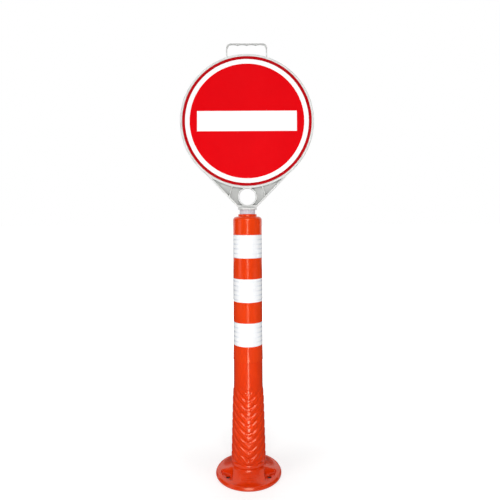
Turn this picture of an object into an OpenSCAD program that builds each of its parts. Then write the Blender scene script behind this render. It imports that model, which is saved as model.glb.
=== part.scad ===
// Flexible delineator post with a plug-in no-entry sign.
// Millimetres. +Z is up, the sign's face looks along -Y, and the origin is the centre of the
// foot's underside on the road.

/* [Foot] */
// Diameter of the flange that stands on the road
flange_d = 190; // [184:2:230]
// Thickness of the flange at its outer edge
flange_edge_h = 10; // [6:0.5:12]
// Rounding of the flange's upper edge
flange_edge_round = 2.5; // [1:0.5:3.5]
// Height of the foot from the road to the seat of the column
foot_h = 31; // [26:1:40]
// Width of the hub's ledge outside the column's bead
hub_ledge = 1; // [0.5:0.5:4]
// Power of the curve that runs from the hub down to the edge, 1 for a straight cone
slope_power = 1.7; // [1.2:0.1:2.4]
// Length of the spigot that the column is pushed over
foot_spigot_len = 44; // [25:1:60]
// Wall of the spigot
foot_spigot_wall = 6; // [4:0.5:9]
// Thickness of the floor inside the spigot
foot_floor = 9; // [6:0.5:14]

/* [Fixing holes] */
// Number of fixing holes, each with its pocket
fixing_count = 3; // [2:1:3]
// Diameter of the circle through the fixing holes
fixing_circle_d = 135; // [130:1:144]
// Diameter of each fixing hole
fixing_hole_d = 13; // [9:0.5:16]
// How far the middle of a pocket lies outside its fixing hole
pocket_shift = 0; // [0:0.5:4]
// Width of a pocket across
pocket_w = 26; // [22:1:28]
// Angle between the centres of a pocket's two round ends
pocket_sweep = 32; // [20:1:44]
// Width of the straight-sided pads that are left between the pockets
pad_w = 91; // [60:1:96]
// Thickness of the floor left under a pocket
pocket_floor = 5; // [4:0.5:8]

/* [Underside] */
// Diameters of the grip grooves under the foot
grip_groove_ds = [48, 84, 172];
// Width of a grip groove
grip_groove_w = 3; // [2:0.5:5]
// Depth of a grip groove
grip_groove_depth = 1.5; // [0.5:0.25:2.5]

/* [Column] */
// Length of the flexible column from its seat to the seam under the tube
column_len = 299; // [275:1:350]
// Wall of the smooth part below the seam
column_wall = 6.5; // [6:0.5:10]
// How far the smooth part lies inside the tube's surface
column_step = 0.5; // [0:0.1:2]
// How far the foot of the ribbed part stands out of the smooth part
column_swell = 5.8; // [3:0.2:7.6]
// Power of that swell, 1 for a straight cone
swell_power = 1; // [1:0.1:2.5]
// How far the bead at the column's foot stands out
bead_out = 2.2; // [1:0.1:4]
// Height of the bead
bead_h = 13; // [8:1:16]
// Length of the spigot that goes up into the tube
column_spigot_len = 35; // [20:1:50]

/* [Chevron ribs] */
// Height of the ribbed part
chevron_zone = 216; // [120:4:252]
// Upright distance between two chevrons
chevron_pitch = 23.1; // [18:0.1:36]
// How far a chevron climbs over a quarter turn
chevron_climb = 54; // [40:1:80]
// How far the ribs stand out
chevron_depth = 2.4; // [1:0.1:4]
// Height over which the ribs fade out at the top
chevron_fade = 22; // [10:2:80]

/* [Tube] */
// Length of the tube from the seam to the cap
tube_len = 402; // [380:2:600]
// Outer diameter of the tube
tube_d = 84; // [82:0.5:90]
// How far the flared lower end stands out
tube_flare = 0.7; // [0.2:0.1:4]
// Height of the flare
tube_flare_h = 40; // [10:2:46]
// Wall of the tube
tube_wall = 3.5; // [2.5:0.1:5]

/* [Reflective bands] */
// Number of bands
band_count = 3; // [1:1:3]
// Height of a band
band_h = 66; // [40:1:80]
// Distance from the top of the tube to the upper band
band_drop = 41.5; // [20:0.5:46]
// Distance from the seam to the lowest band
band_rise = 44.5; // [42:0.5:60]
// Thickness of a band
band_t = 1; // [0.6:0.1:1.6]
// How far a band stands out of the tube
band_proud = 0.3; // [0.1:0.1:0.5]
// Number of grooves round a band
band_grooves = 4; // [2:1:8]
// Width of a groove
band_groove_w = 1.4; // [0.8:0.2:3]

/* [Cap] */
// Rounding of the shoulder, which is also the height of the cap's outer wall
shoulder_round = 11; // [4:0.5:11.5]
// Wall of the collar round the socket
collar_wall = 4.6; // [3.6:0.1:9]
// Height of the collar
collar_h = 7; // [6:1:20]
// Rounding of the collar's upper edge
collar_round = 2; // [0.5:0.5:3]
// Length of the skirt inside the tube
cap_skirt_len = 32; // [15:1:60]
// Wall of the skirt and of the socket
cap_wall = 3; // [2:0.5:4.5]
// Diameter of the socket in the cap
socket_d = 44.8; // [40:0.2:46]
// Depth of the socket below the top of the collar
socket_depth = 62; // [58:1:90]
// Diameter of the drain hole in the socket's floor
drain_d = 9; // [5:0.5:14]

/* [Bush] */
// How far the bush stands above the collar
bush_stand = 12.5; // [8:0.5:30]
// Wall left between the bush's outside and the tips of its slot
bush_wall = 3.5; // [2.5:0.5:5]

/* [Plug] */
// Length of the cross-shaped plug under the sign
plug_len = 56; // [40:1:60]
// Thickness of the plug's two blades
plug_blade_t = 8; // [5:0.5:12]

/* [Sign] */
// Diameter of the reflective face
sign_face_d = 375; // [360:1:380]
// Width of the moulded rim round the face
sign_rim_w = 6.5; // [5:0.5:10]
// Depth of the rim from front to back
sign_rim_depth = 18; // [14:1:30]
// Distance from the post's axis forward to the front of the rim
sign_front = 12; // [10:0.5:16]
// How far the face lies behind the front of the rim
sign_face_sink = 1; // [0.6:0.1:3]
// Thickness of the plate behind the reflective face
sign_plate_t = 3; // [2:0.25:5]
// Thickness of the rim's wall
sign_rim_wall = 4; // [3:0.5:6]
// Thickness of the ribs behind the plate
back_rib_t = 2.5; // [1.5:0.25:5]
// Number of ribs that run out from the middle
back_rib_count = 8; // [4:1:16]
// Diameter of the ring in the middle of the ribs
back_ring_d = 60; // [40:1:100]
// Diameter of the outer ring of the ribs
back_outer_ring_d = 220; // [160:2:300]

/* [Face artwork] */
// Thickness of the white reflective sheet
sheet_t = 0.4; // [0.2:0.1:0.6]
// Thickness of the red film over the sheet
film_t = 0.2; // [0.1:0.05:0.4]
// Width of the red border
red_border_w = 8; // [4:0.5:12]
// Width of the white ring inside the border
white_ring_w = 14.5; // [8:0.5:20]
// Distance from an end of the white bar to the white ring
white_bar_gap = 20.5; // [10:0.5:40]
// Height of the white bar
white_bar_h = 59; // [40:1:80]

/* [Handle] */
// Width of the handle over its sides
handle_w = 119; // [112:1:150]
// How far the handle rises above the rim
handle_rise = 30.5; // [28:0.5:50]
// Rounding of the handle's two upper corners
handle_round = 14; // [9:1:20]
// Thickness of the handle's sides
handle_side_t = 3.5; // [3:0.5:8]
// Thickness of the handle's bar between two fingers
handle_bar_t = 6; // [5:0.5:9]
// Number of finger hollows under the bar
finger_count = 4; // [3:1:4]
// Distance from the last finger hollow to the handle's side
finger_end_gap = 3.5; // [3:0.5:10]
// Depth of a finger hollow
finger_depth = 2.5; // [1:0.5:3.5]
// How far the handle's faces lie inside the rim's
handle_inset = 5; // [0:0.5:5]

/* [Neck] */
// Length of the neck from the seat of the plug to the rim
neck_len = 62.5; // [58:0.5:90]
// Width of the neck above its shoulder
neck_w = 52; // [48:1:54]
// Height of the neck's lower corners above the seat of the plug
neck_corner_h = 7; // [6:0.5:10]
// Depth of the neck's edges from front to back
neck_depth = 20; // [16:1:26]
// Thickness of the neck's edges
neck_edge_t = 4; // [3:0.5:6]
// Thickness of the web between the edges
neck_web_t = 4; // [3:0.5:6]
// Height of the solid foot of the neck, under its round hole
neck_foot_h = 13.25; // [12:0.25:24]
// Distance from the top of the hole to the rim
neck_hole_gap = 0.75; // [0.5:0.25:6]
// Width of the raised ring round the hole
neck_ring_w = 3.5; // [2.5:0.5:5]
// How far the shoulder that rests on the bush stands out of the neck
shoulder_out = 1; // [0.5:0.5:4]
// Height of the shoulder
shoulder_h = 6; // [4:0.5:9]
// Distance of the slanted ribs from the middle, at the rim
slant_rib_reach = 44; // [38:1:60]
// Lean of the slanted ribs away from upright
slant_rib_lean = 15; // [5:1:25]
// Thickness of the slanted ribs
slant_rib_t = 3; // [2:0.5:5]

/* [Fits] */
// Gap between a fixed piece and what it is pushed into or over
fit_gap = 0.3; // [0.2:0.05:0.5]
// Gap between the bush and the socket that it turns in
turn_gap = 0.1; // [0.05:0.01:0.2]
// Gap round the plug where it slides in the bush
slide_gap = 0.3; // [0.2:0.05:0.6]

/* [Hidden] */

$fn = 96;
// overrun of a cut past the face it opens
over = 1;
// sides of a rounded corner in a turned outline
corner_steps = 6;
// small chamfer on the ends of pushed-in pieces
lead_in = 1.5;

// heights from the road up
column_z = foot_h;
seam_z = column_z + column_len;
cap_z = seam_z + tube_len;
collar_z = cap_z + shoulder_round;
post_top_z = collar_z + collar_h;
seat_z = post_top_z + bush_stand;

// radii of the column and the foot, which follow the tube
column_top_r = tube_d / 2 - column_step;
column_foot_r = column_top_r + column_swell;
column_bore_r = column_top_r - column_wall;
bead_r = column_foot_r + bead_out;
hub_r = bead_r + hub_ledge;

// radii of the pieces that fit together
foot_spigot_r = column_bore_r - fit_gap;
tube_bore_r = tube_d / 2 - tube_wall;
column_spigot_r = tube_bore_r - fit_gap;
bush_r = socket_d / 2 - turn_gap;
collar_r = socket_d / 2 + collar_wall;
shoulder_r = neck_w / 2 + shoulder_out;

// the sign hangs over its neck
sign_rim_r = sign_face_d / 2 + sign_rim_w;
sign_z = seat_z + neck_len + sign_rim_r;
sign_rim_inner_r = sign_rim_r - sign_rim_wall;
// what joins the rim from outside ends in the middle of its wall
sign_rim_mid_r = sign_rim_r - sign_rim_wall / 2;

// the sign's layers from the front backwards, as distances in front of the post's axis
face_y = sign_front - sign_face_sink;
sheet_y = face_y - film_t;
plate_y = sheet_y - sheet_t;
rim_back_y = sign_front - sign_rim_depth;

orange = [0.90, 0.24, 0.07];
deep_orange = [0.86, 0.20, 0.06];
white = [0.93, 0.94, 0.93];
pale = [0.84, 0.86, 0.85];
grey = [0.62, 0.61, 0.64];
red = [0.89, 0.05, 0.09];

// points of an arc round c, from angle a to angle b
function arc(c, r, a, b) = [
  for (i = [0 : corner_steps])
    let (t = a + (b - a) * i / corner_steps)
    [c[0] + r * cos(t), c[1] + r * sin(t)]
];

// stands a flat outline up in the XZ plane, from y = -front to y = -back
module standing(front, back) {
  translate([0, -back, 0])
    rotate([90, 0, 0])
      linear_extrude(front - back)
        children();
}

// turns an outline of radius and depth about the sign's own axis, depth forwards
module about_sign() {
  translate([0, 0, sign_z])
    rotate([90, 0, 0])
      rotate_extrude()
        children();
}

// the foot's outline: flange, curved slope, hub rim and spigot, with the spigot's bore
slope_steps = 14;
hub_lip_round = 3;
foot_chamfer = 1;
module foot_outline() {
  flange_r = flange_d / 2;
  edge_r = flange_r - flange_edge_round;
  lip_z = foot_h - hub_lip_round;
  spigot_z = foot_h + foot_spigot_len;
  spigot_bore_r = foot_spigot_r - foot_spigot_wall;
  polygon(concat(
    [[0, 0], [flange_r - foot_chamfer, 0], [flange_r, foot_chamfer]],
    arc([edge_r, flange_edge_h - flange_edge_round], flange_edge_round, 0, 90),
    [for (i = [1 : slope_steps])
      let (t = i / slope_steps)
      [edge_r + (hub_r - edge_r) * t, flange_edge_h + (lip_z - flange_edge_h) * pow(t, slope_power)]],
    arc([hub_r - hub_lip_round, lip_z], hub_lip_round, 0, 90),
    [
      [foot_spigot_r, foot_h],
      [foot_spigot_r, spigot_z - lead_in],
      [foot_spigot_r - lead_in, spigot_z],
      [spigot_bore_r, spigot_z],
      [spigot_bore_r, foot_floor],
      [0, foot_floor]
    ]
  ));
}

// one pocket, centred on the +X side: a kidney shape that the pads beside it cut off
module pocket() {
  pocket_r = fixing_circle_d / 2 + pocket_shift;
  translate([0, 0, pocket_floor])
    difference() {
      union() {
        rotate([0, 0, -pocket_sweep / 2])
          rotate_extrude(angle = pocket_sweep)
            translate([pocket_r - pocket_w / 2, 0])
              square([pocket_w, foot_h]);
        for (side = [-1, 1])
          rotate([0, 0, side * pocket_sweep / 2])
            translate([pocket_r, 0, 0])
              cylinder(r = pocket_w / 2, h = foot_h);
      }
      for (side = [-1, 1])
        rotate([0, 0, side * 180 / fixing_count])
          translate([0, -pad_w / 2, -over])
            cube([flange_d, pad_w, foot_h + 2 * over]);
    }
}

module base_flange() {
  color(deep_orange)
    difference() {
      rotate_extrude()
        foot_outline();
      // the first hole lies at the back, so that two show at the front
      for (i = [0 : fixing_count - 1])
        rotate([0, 0, 90 + i * 360 / fixing_count]) {
          pocket();
          translate([fixing_circle_d / 2, 0, -over])
            cylinder(r = fixing_hole_d / 2, h = pocket_floor + 2 * over);
        }
      for (d = grip_groove_ds)
        rotate_extrude()
          translate([(d - grip_groove_w) / 2, -over])
            square([grip_groove_w, grip_groove_depth + over]);
    }
}

// The ribbed column is one ring after another. The rings in the ribbed part and the columns of
// points round it are spaced so that the ribs run along the diagonals between them.
steps_per_chevron = 6;
rib_step = chevron_pitch / steps_per_chevron;
quarter_columns = round(chevron_climb / rib_step);
column_sides = 4 * quarter_columns;
bead_steps = 6;
// how much of the bead's height is its rounding at each end
bead_end_share = 0.35;
rib_rings = floor(chevron_zone / rib_step);
ribs_z = column_z + bead_h;
ribs_top_z = ribs_z + rib_rings * rib_step;

// columns of points counted from the nearest front or back line up to the nearest side line
function climb_columns(i) =
  let (m = i % (2 * quarter_columns))
  min(m, 2 * quarter_columns - m);

function body_r(z) =
  let (t = (z - ribs_z) / (ribs_top_z - ribs_z))
  column_top_r + column_swell * (1 - pow(t, swell_power));

// share of the full rib height, faded at both ends of the ribbed part
function rib_share(z) =
  min(1, (z - ribs_z) / rib_step, (ribs_top_z - z) / chevron_fade);

// the lowest crest meets the front line one step above the bead
function rib_r(z, i) =
  let (phase = (z - ribs_z - rib_step) / chevron_pitch - climb_columns(i) / steps_per_chevron)
  body_r(z) + chevron_depth * rib_share(z) * (1 + cos(360 * phase)) / 2;

// one ring of points, the first one at the front
function ring(z, radii) = [
  for (i = [0 : column_sides - 1])
    let (a = 360 * i / column_sides - 90)
    [radii[i] * cos(a), radii[i] * sin(a), z]
];

function even(r) = [for (i = [0 : column_sides - 1]) r];

// radius of the bead at a share t of its height
function bead_outline_r(t) =
  let (e = min(t, 1 - t, bead_end_share) / bead_end_share)
  column_foot_r + bead_out * sqrt(1 - pow(1 - e, 2));

column_rings = concat(
  [for (i = [0 : bead_steps])
    ring(column_z + bead_h * i / bead_steps, even(bead_outline_r(i / bead_steps)))],
  [for (k = [1 : rib_rings])
    let (z = ribs_z + k * rib_step)
    ring(z, [for (i = [0 : column_sides - 1]) rib_r(z, i)])],
  [
    ring(seam_z, even(column_top_r)),
    ring(seam_z, even(column_spigot_r)),
    ring(seam_z + column_spigot_len - lead_in, even(column_spigot_r)),
    ring(seam_z + column_spigot_len, even(column_spigot_r - lead_in)),
    ring(seam_z + column_spigot_len, even(column_bore_r)),
    ring(column_z, even(column_bore_r))
  ]
);

// the two triangles between ring k and the next, split along the ribs on every quarter
function column_faces(k, i, rings) =
  let (
    j = (i + 1) % column_sides,
    n = (k + 1) % rings,
    a = k * column_sides + i,
    b = k * column_sides + j,
    c = n * column_sides + j,
    d = n * column_sides + i,
    climbing = i % (2 * quarter_columns) < quarter_columns
  )
  climbing ? [[a, d, c], [a, c, b]] : [[a, d, b], [d, c, b]];

module flexible_column() {
  rings = len(column_rings);
  color(orange)
    polyhedron(
      points = [for (r = column_rings) each r],
      faces = [for (k = [0 : rings - 1], i = [0 : column_sides - 1]) each column_faces(k, i, rings)],
      convexity = 6
    );
}

// the bands are spread evenly, and the upper band is number 0
band_pitch = (tube_len - band_drop - band_rise - band_h) / max(1, band_count - 1);
function band_z(i) = cap_z - band_drop - band_h - i * band_pitch;

band_outer_r = tube_d / 2 + band_proud;
band_inner_r = band_outer_r - band_t;

module post_tube() {
  tube_flare_r = tube_d / 2 + tube_flare;
  color(orange)
    difference() {
      rotate_extrude()
        polygon([
          [tube_bore_r, seam_z],
          [tube_flare_r - foot_chamfer, seam_z],
          [tube_flare_r, seam_z + foot_chamfer],
          [tube_d / 2, seam_z + tube_flare_h],
          [tube_d / 2, cap_z],
          [tube_bore_r, cap_z]
        ]);
      // a shallow recess for each band
      for (i = [0 : band_count - 1])
        rotate_extrude()
          translate([band_inner_r, band_z(i)])
            square([tube_d, band_h]);
    }
}

module reflective_band(i) {
  groove_gap = band_h / (band_grooves + 1);
  color(white)
    difference() {
      translate([0, 0, band_z(i)])
        difference() {
          cylinder(r = band_outer_r, h = band_h);
          translate([0, 0, -over])
            cylinder(r = band_inner_r, h = band_h + 2 * over);
        }
      for (g = [1 : band_grooves])
        rotate_extrude()
          translate([band_outer_r, band_z(i) + g * groove_gap])
            rotate([0, 0, 45])
              square(band_groove_w / sqrt(2), center = true);
    }
}

module reflective_band_top() { reflective_band(0); }
module reflective_band_middle() { reflective_band(1); }
module reflective_band_bottom() { reflective_band(2); }

module top_cap() {
  socket_r = socket_d / 2;
  socket_z = post_top_z - socket_depth;
  skirt_r = tube_bore_r - fit_gap / 2;
  skirt_z = cap_z - cap_skirt_len;
  color(orange)
    difference() {
      rotate_extrude()
        polygon(concat(
          [
            [skirt_r - cap_wall, skirt_z],
            [skirt_r, skirt_z],
            [skirt_r, cap_z],
            [tube_d / 2, cap_z]
          ],
          arc([tube_d / 2 - shoulder_round, collar_z - shoulder_round], shoulder_round, 0, 90),
          arc([collar_r + collar_round, collar_z + collar_round], collar_round, 270, 180),
          arc([collar_r - collar_round, post_top_z - collar_round], collar_round, 0, 90),
          [
            [socket_r, post_top_z],
            [socket_r, socket_z],
            [0, socket_z],
            [0, socket_z - cap_wall],
            [socket_r + cap_wall, socket_z - cap_wall],
            [socket_r + cap_wall, collar_z - cap_wall],
            [skirt_r - cap_wall, collar_z - shoulder_round]
          ]
        ));
      translate([0, 0, socket_z - cap_wall - over])
        cylinder(r = drain_d / 2, h = cap_wall + 2 * over);
    }
}

// the two crossed blades of the plug, grown all round by gap
module plug_cross(gap) {
  reach = 2 * (bush_r - bush_wall - slide_gap + gap);
  blade = plug_blade_t + 2 * gap;
  square([reach, blade], center = true);
  square([blade, reach], center = true);
}

module socket_bush() {
  bush_z = post_top_z - socket_depth;
  color(grey)
    difference() {
      rotate_extrude()
        polygon([
          [0, bush_z],
          [bush_r - lead_in, bush_z],
          [bush_r, bush_z + lead_in],
          [bush_r, seat_z - lead_in / 2],
          [bush_r - lead_in / 2, seat_z],
          [0, seat_z]
        ]);
      // the slot goes right through, so that rain drains into the socket
      translate([0, 0, bush_z - over])
        linear_extrude(seat_z - bush_z + 2 * over)
          plug_cross(slide_gap);
    }
}

// the dish that carries the reflective face: a rim with a rounded front edge, and a plate
rim_bead_r = sign_rim_w / 2;
module sign_dish() {
  about_sign()
    union() {
      translate([sign_rim_inner_r, rim_back_y])
        square([sign_rim_wall, sign_rim_depth - rim_bead_r]);
      translate([sign_rim_r - rim_bead_r, sign_front - rim_bead_r])
        circle(r = rim_bead_r);
      translate([0, plate_y - sign_plate_t])
        square([sign_rim_r - rim_bead_r, sign_plate_t]);
    }
}

// ribs behind the plate, with two rings that tie them together
module back_ribs() {
  rib_front = plate_y - sign_plate_t / 2;
  rib_back = rim_back_y + sign_rim_wall;
  translate([0, 0, sign_z])
    standing(rib_front, rib_back)
      for (i = [0 : back_rib_count - 1])
        rotate(90 + i * 360 / back_rib_count)
          translate([back_ring_d / 2 - back_rib_t, -back_rib_t / 2])
            square([sign_rim_r - back_ring_d / 2 - back_rib_t, back_rib_t]);
  for (d = [back_ring_d, back_outer_ring_d])
    about_sign()
      translate([d / 2 - back_rib_t, rib_back])
        square([back_rib_t, rib_front - rib_back]);
}

// outline of the handle's loop: a round-cornered bridge over the rim
module handle_outline() {
  half = handle_w / 2;
  top = sign_rim_r + handle_rise;
  foot = sqrt(pow(sign_rim_r, 2) - pow(half, 2)) - sign_rim_wall;
  polygon(concat(
    [[-half, foot], [half, foot]],
    arc([half - handle_round, top - handle_round], handle_round, 0, 90),
    arc([-half + handle_round, top - handle_round], handle_round, 90, 180)
  ));
}

// the hand hole: straight sides and a row of finger hollows under the bar
module hand_hole_outline() {
  half = handle_w / 2 - handle_side_t;
  bar_z = sign_rim_r + handle_rise - handle_bar_t;
  finger_pitch = 2 * (half - finger_end_gap) / finger_count;
  finger_r = (pow(finger_pitch / 2, 2) + pow(finger_depth, 2)) / (2 * finger_depth);
  row = finger_pitch * (finger_count - 1);
  shoulder = handle_round - handle_side_t;
  polygon([
    [-half, 0],
    [half, 0],
    [half, bar_z - shoulder],
    [half - shoulder, bar_z],
    [-half + shoulder, bar_z],
    [-half, bar_z - shoulder]
  ]);
  intersection() {
    for (i = [0 : finger_count - 1])
      translate([i * finger_pitch - row / 2, bar_z + finger_depth - finger_r])
        circle(r = finger_r);
    translate([-half, bar_z - finger_depth])
      square([2 * half, 3 * finger_depth]);
  }
}

module handle() {
  translate([0, 0, sign_z])
    standing(sign_front - handle_inset, rim_back_y + handle_inset)
      difference() {
        handle_outline();
        hand_hole_outline();
        circle(r = sign_rim_mid_r);
      }
}

// the neck's straight edges run into the rim, as tangents to the middle of its wall
shoulder_mid_z = seat_z + shoulder_h / 2;
neck_corner = [neck_w / 2, seat_z + neck_corner_h];
corner_reach = norm([neck_corner[0], sign_z - neck_corner[1]]);
edge_angle = 90 + asin(neck_corner[0] / corner_reach) - asin(sign_rim_mid_r / corner_reach);
edge_len = sqrt(pow(corner_reach, 2) - pow(sign_rim_mid_r, 2));
neck_edge_top = [
  neck_corner[0] + edge_len * cos(edge_angle),
  neck_corner[1] + edge_len * sin(edge_angle)
];
module neck_outline() {
  polygon([
    [-neck_corner[0], shoulder_mid_z],
    [neck_corner[0], shoulder_mid_z],
    neck_corner,
    neck_edge_top,
    [-neck_edge_top[0], neck_edge_top[1]],
    [-neck_corner[0], neck_corner[1]]
  ]);
}

// one straight bar of the neck seen from the front, from a point on at an angle
module neck_bar(from, angle, length, thickness) {
  translate(from)
    rotate(angle)
      square([length, thickness]);
}

module slanted_rib() {
  // it hangs from the rim's circle and runs out to the neck's edge
  top_z = sign_z - sqrt(pow(sign_rim_r, 2) - pow(slant_rib_reach, 2));
  neck_bar([slant_rib_reach, top_z + sign_rim_wall / 2], slant_rib_lean - 90, neck_w, slant_rib_t);
}

// a piece of the neck, trimmed to the neck's outline and kept out of the dish
module neck_part(front, back) {
  standing(front, back)
    difference() {
      intersection() {
        children();
        neck_outline();
      }
      translate([0, sign_z])
        circle(r = sign_rim_mid_r);
    }
}

// the round hole fills the neck between its solid foot and the rim
neck_hole_r = (neck_len - neck_foot_h - neck_hole_gap) / 2;
neck_hole_z = seat_z + neck_foot_h + neck_hole_r;
module neck() {
  half_depth = neck_depth / 2;
  neck_part(neck_web_t / 2, -neck_web_t / 2)
    neck_outline();
  neck_part(half_depth, -half_depth)
    for (side = [0, 1])
      mirror([side, 0])
        neck_bar(neck_corner, edge_angle, edge_len, neck_edge_t);
  neck_part(half_depth, -half_depth)
    for (side = [0, 1])
      mirror([side, 0])
        slanted_rib();
  neck_part(half_depth, -half_depth)
    translate([0, neck_hole_z])
      circle(r = neck_hole_r + neck_ring_w);
  neck_part(half_depth, -half_depth)
    translate([-neck_corner[0], shoulder_mid_z])
      square([neck_w, seat_z + neck_foot_h - shoulder_mid_z]);
}

module sign_frame() {
  color(pale)
    difference() {
      union() {
        sign_dish();
        back_ribs();
        handle();
        neck();
        translate([0, 0, seat_z])
          cylinder(r = shoulder_r, h = shoulder_h);
        translate([0, 0, seat_z - plug_len])
          linear_extrude(plug_len + shoulder_h / 2)
            plug_cross(0);
      }
      translate([0, 0, neck_hole_z])
        rotate([90, 0, 0])
          cylinder(r = neck_hole_r, h = 2 * neck_depth, center = true);
    }
}

// a flat layer of the face, from y = -front to y = -back
module face_layer(front, back) {
  translate([0, 0, sign_z])
    standing(front, back)
      children();
}

sheet_r = sign_face_d / 2 - fit_gap;
white_ring_r = sign_face_d / 2 - red_border_w;
red_field_r = white_ring_r - white_ring_w;

module white_reflective_sheet() {
  color(white)
    face_layer(sheet_y, plate_y)
      circle(r = sheet_r);
}

module red_border_film() {
  color(red)
    face_layer(face_y, sheet_y)
      difference() {
        circle(r = sheet_r);
        circle(r = white_ring_r);
      }
}

module red_field_film() {
  color(red)
    face_layer(face_y, sheet_y)
      difference() {
        circle(r = red_field_r);
        square([2 * (red_field_r - white_bar_gap), white_bar_h], center = true);
      }
}

base_flange();
flexible_column();
post_tube();
top_cap();
reflective_band_top();
reflective_band_middle();
reflective_band_bottom();
socket_bush();
sign_frame();
white_reflective_sheet();
red_border_film();
red_field_film();
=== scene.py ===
"""A flexible delineator post with a plug-in no-entry sign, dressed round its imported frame.

Metres, +Z up, the sign's face looks along -Y.
"""

import math

import bpy
import numpy as np
import openvdb
from mathutils import Matrix, Vector
from mathutils.geometry import tessellate_polygon


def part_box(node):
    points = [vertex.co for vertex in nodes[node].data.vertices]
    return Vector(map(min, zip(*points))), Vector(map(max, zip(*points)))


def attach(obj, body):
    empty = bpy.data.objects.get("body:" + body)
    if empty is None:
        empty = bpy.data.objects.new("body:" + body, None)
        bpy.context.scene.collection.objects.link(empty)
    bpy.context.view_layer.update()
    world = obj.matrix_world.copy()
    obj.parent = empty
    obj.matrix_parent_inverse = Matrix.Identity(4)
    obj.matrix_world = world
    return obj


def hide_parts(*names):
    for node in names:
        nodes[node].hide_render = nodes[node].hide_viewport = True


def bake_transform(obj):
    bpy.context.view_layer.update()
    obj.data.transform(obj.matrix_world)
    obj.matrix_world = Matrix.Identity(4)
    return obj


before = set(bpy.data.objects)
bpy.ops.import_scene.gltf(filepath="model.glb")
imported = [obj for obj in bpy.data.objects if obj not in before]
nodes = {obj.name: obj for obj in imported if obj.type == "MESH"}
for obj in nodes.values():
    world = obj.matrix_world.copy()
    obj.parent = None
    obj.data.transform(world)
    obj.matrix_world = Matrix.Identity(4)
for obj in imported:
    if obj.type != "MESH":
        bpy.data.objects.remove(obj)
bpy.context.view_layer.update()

MM = 0.001

# heights that the frame gives
COLUMN_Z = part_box("flexible_column")[0].z
COLUMN_TOP_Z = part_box("flexible_column")[1].z
SEAM_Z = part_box("post_tube")[0].z
CAP_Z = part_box("post_tube")[1].z
POST_TOP_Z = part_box("top_cap")[1].z
SEAT_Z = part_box("socket_bush")[1].z
SIGN_TOP_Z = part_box("sign_frame")[1].z

# foot
FLANGE_R = 95 * MM
FLANGE_EDGE_H = 10 * MM
FLANGE_EDGE_W = 6 * MM
FLANGE_BEVEL_LOW = 4.5 * MM
FLANGE_BEVEL_W = 3.7 * MM
FLANGE_BEVEL_H = 4.5 * MM
HUB_R = 50.5 * MM
HUB_BEVEL_W = 3.2 * MM
HUB_BEVEL_H = 3.9 * MM
SLOPE_POWER = 1.7
SLOPE_STEPS = 24
FLANGE_CHAMFER = 1 * MM
FOOT_SPIGOT_R = 34.7 * MM
FOOT_SPIGOT_LEN = 44 * MM
FOOT_SPIGOT_WALL = 6 * MM
FOOT_FLOOR = 9 * MM
FIXING_COUNT = 3
FIXING_R = 67.5 * MM
FIXING_HOLE_R = 6.5 * MM
POCKET_R = 67.5 * MM
POCKET_W = 26 * MM
POCKET_HALF_SWEEP = math.radians(16)
POCKET_FLOOR = 5 * MM
# how much a pocket's wall leans outwards, and from what height over its floor
POCKET_DRAFT = 0.12
POCKET_DRAFT_FROM = 6 * MM
POCKET_LIP_ROUND = 3.2 * MM
POCKET_FLOOR_ROUND = 4 * MM
POCKET_CORNER_ROUND = 5 * MM
HOLE_ROUND = 0.8 * MM
PAD_W = 91 * MM
# fine grip lines on the front pad, which is bare otherwise
PAD_LINES_HALF_W = 23 * MM
PAD_LINES_INNER_R = 56 * MM
PAD_LINES_OUTER_R = 74 * MM
PAD_LINES_MIN_Z = 3 * MM
PAD_LINES_PITCH = 4.8 * MM
PAD_LINES_RISE = 0.45 * MM
PAD_LINES_LOW_SHARE = 0.45
PAD_LINES_EDGE = 1.2 * MM
# grooves under the foot
GRIP_GROOVE_RS = (24 * MM, 42 * MM, 86 * MM)
GRIP_GROOVE_W = 3 * MM
GRIP_GROOVE_DEPTH = 1.5 * MM

# column
COLUMN_BORE_R = 35 * MM
COLUMN_TOP_R = 41.5 * MM
COLUMN_SPIGOT_R = 38.2 * MM
# the bevel at the end of each spigot
LEAD_IN = 1.5 * MM
COLUMN_SWELL = 5.8 * MM
BEAD_OUT = 2.2 * MM
BEAD_H = 13 * MM
BEAD_LOW_SHARE = 0.35
BEAD_TOP_SHARE = 0.22
RIBS_LEN = 215.6 * MM
RIBS_TOP_Z = COLUMN_Z + BEAD_H + RIBS_LEN
RIB_PITCH = 23.1 * MM
RIB_CLIMB = 53.9 * MM
RIB_START = 3.85 * MM
RIB_DEPTH = 2.4 * MM
RIB_FADE = 34 * MM
# how steep the flanks are, how round their edges are, and how much wider crests are than grooves
RIB_GAIN = 2.7
RIB_EDGE_POWER = 6
RIB_BIAS = 0.2
# how round the ribs are where they meet at the front line, as a share of a quarter turn
RIB_TIP_ROUND = 0.03
PARTING_LINE_RISE = 0.25 * MM
PARTING_LINE_W = 0.9 * MM
COLUMN_SIDES = 288
COLUMN_STEP = 1.2 * MM
# where the column is split into a lower and an upper half
COLUMN_SPLIT_Z = 150 * MM

# tube, bands and cap
TUBE_R = 42 * MM
TUBE_BORE_R = 38.5 * MM
TUBE_FLARE = 0.7 * MM
TUBE_FLARE_H = 40 * MM
SEAM_ROUND = 0.6 * MM
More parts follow.
